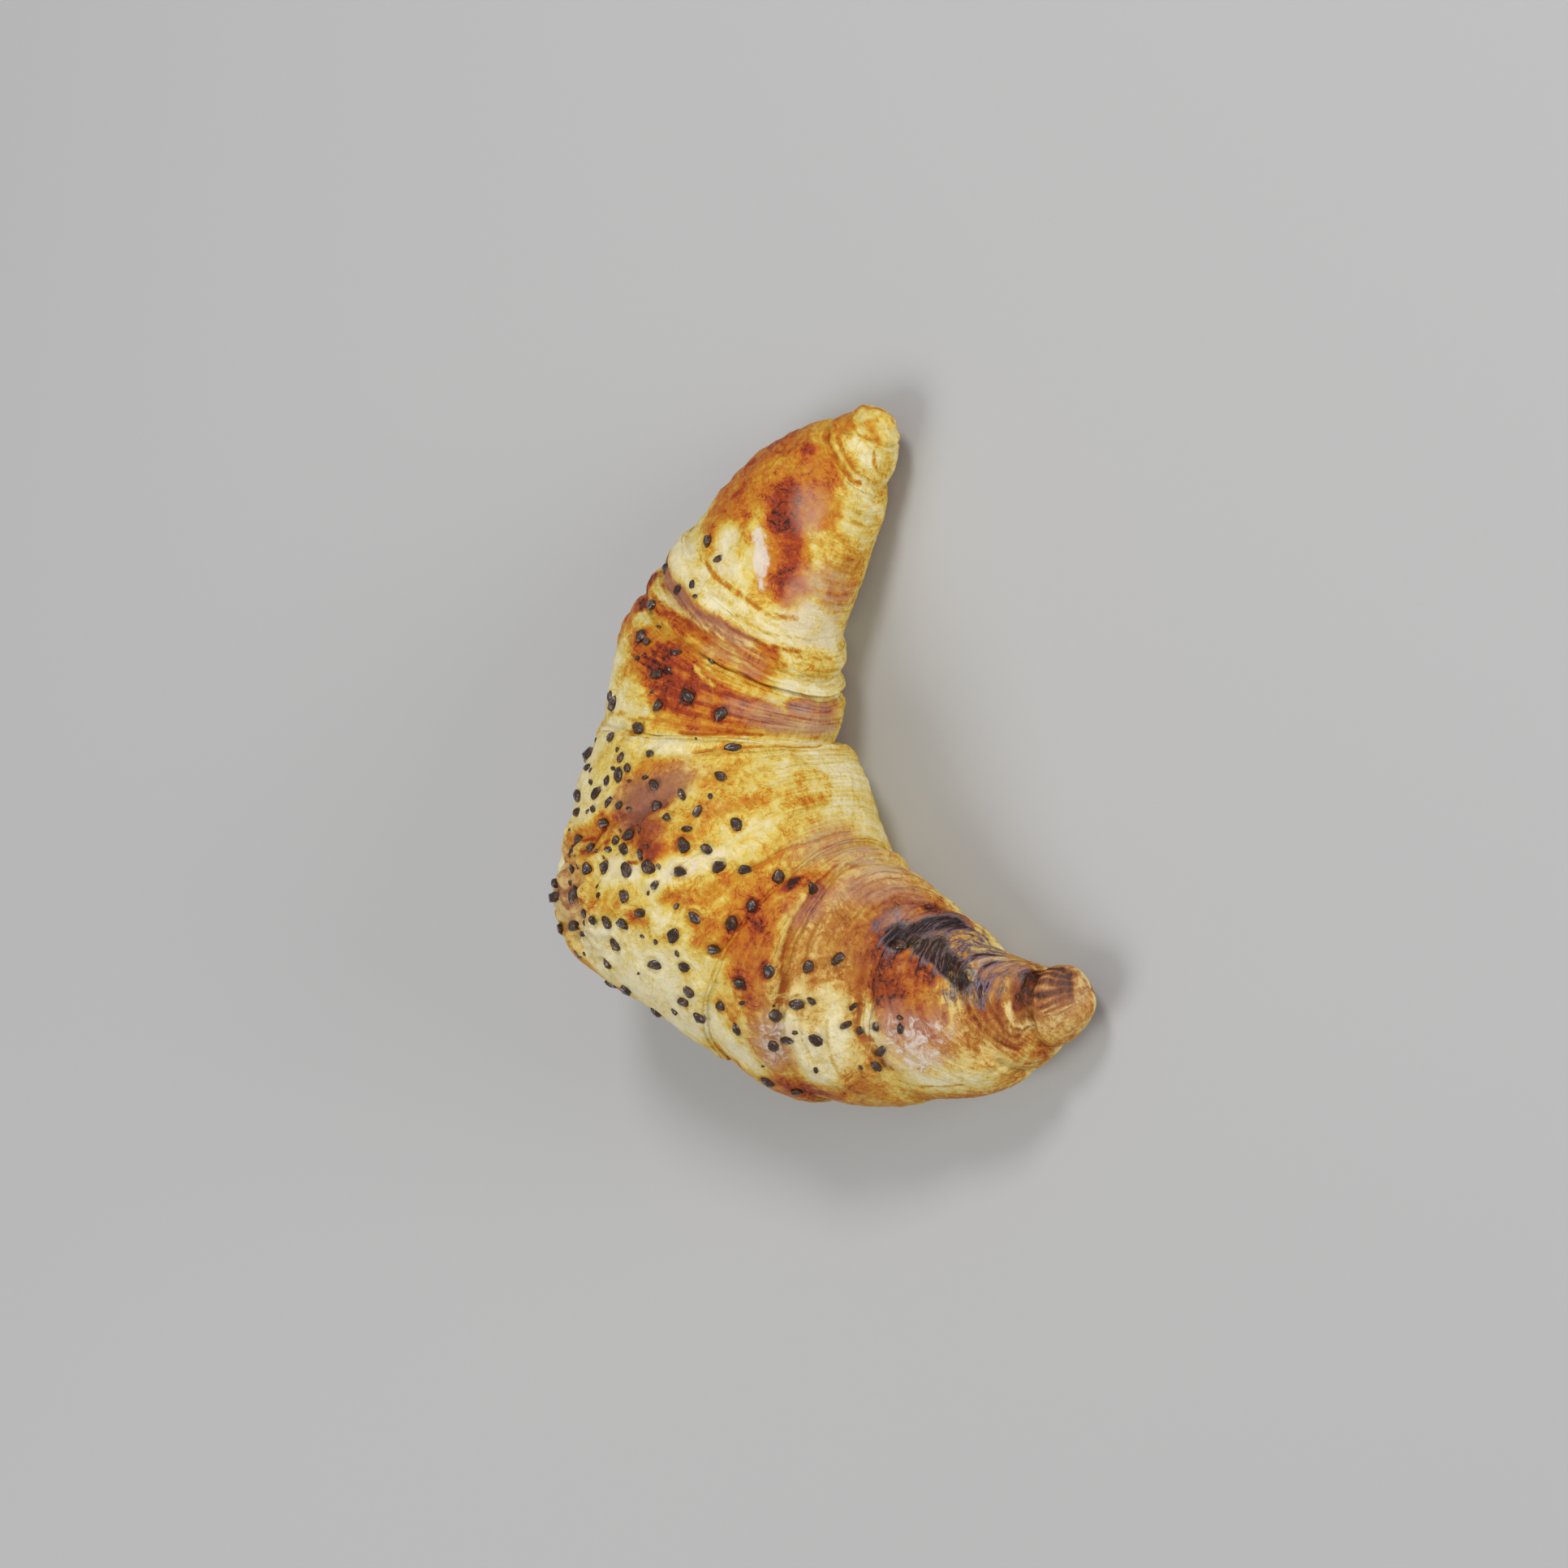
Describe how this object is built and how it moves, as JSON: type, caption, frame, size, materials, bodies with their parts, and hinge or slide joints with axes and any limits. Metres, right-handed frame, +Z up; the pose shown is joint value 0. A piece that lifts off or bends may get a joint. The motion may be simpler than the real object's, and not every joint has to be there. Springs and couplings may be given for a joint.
{
  "type": "croissant",
  "caption": "Seeded croissant: a curved roll of layered dough with tapering arms, lying on its flat baked base.",
  "frame": {"origin": "middle of the croissant's outline on the plane of its flat base", "axes": "+Z up through the crown, +X from the charred tip towards the pale tip, both tips pointing towards -Y and the outer bend towards +Y"},
  "size_m": [0.1521, 0.109, 0.057],
  "materials": {
    "crust": "flaky egg-washed crust, cream to golden, browned red on the ridges and charred near one tip",
    "seed": "dark toasted seed, slightly glossy"
  },
  "bodies": {
    "root": {"loaf": "crust", "seed_01": "seed", "seed_02": "seed", "seed_03": "seed", "seed_04": "seed", "seed_05": "seed", "seed_06": "seed", "seed_07": "seed", "seed_08": "seed", "seed_09": "seed", "seed_10": "seed", "seed_11": "seed", "seed_12": "seed", "seed_13": "seed", "seed_14": "seed", "seed_15": "seed", "seed_16": "seed", "seed_17": "seed", "seed_18": "seed", "seed_19": "seed", "seed_20": "seed", "seed_21": "seed", "seed_22": "seed", "seed_23": "seed", "seed_24": "seed", "seed_25": "seed", "seed_26": "seed", "seed_27": "seed", "seed_28": "seed", "seed_29": "seed", "seed_30": "seed", "seed_31": "seed", "seed_32": "seed", "seed_33": "seed", "seed_34": "seed", "seed_35": "seed", "seed_36": "seed", "seed_37": "seed", "seed_38": "seed", "seed_39": "seed", "seed_40": "seed", "seed_41": "seed", "seed_42": "seed", "seed_43": "seed", "seed_44": "seed", "seed_45": "seed", "seed_46": "seed", "seed_47": "seed", "seed_48": "seed"}
  },
  "joints": []
}
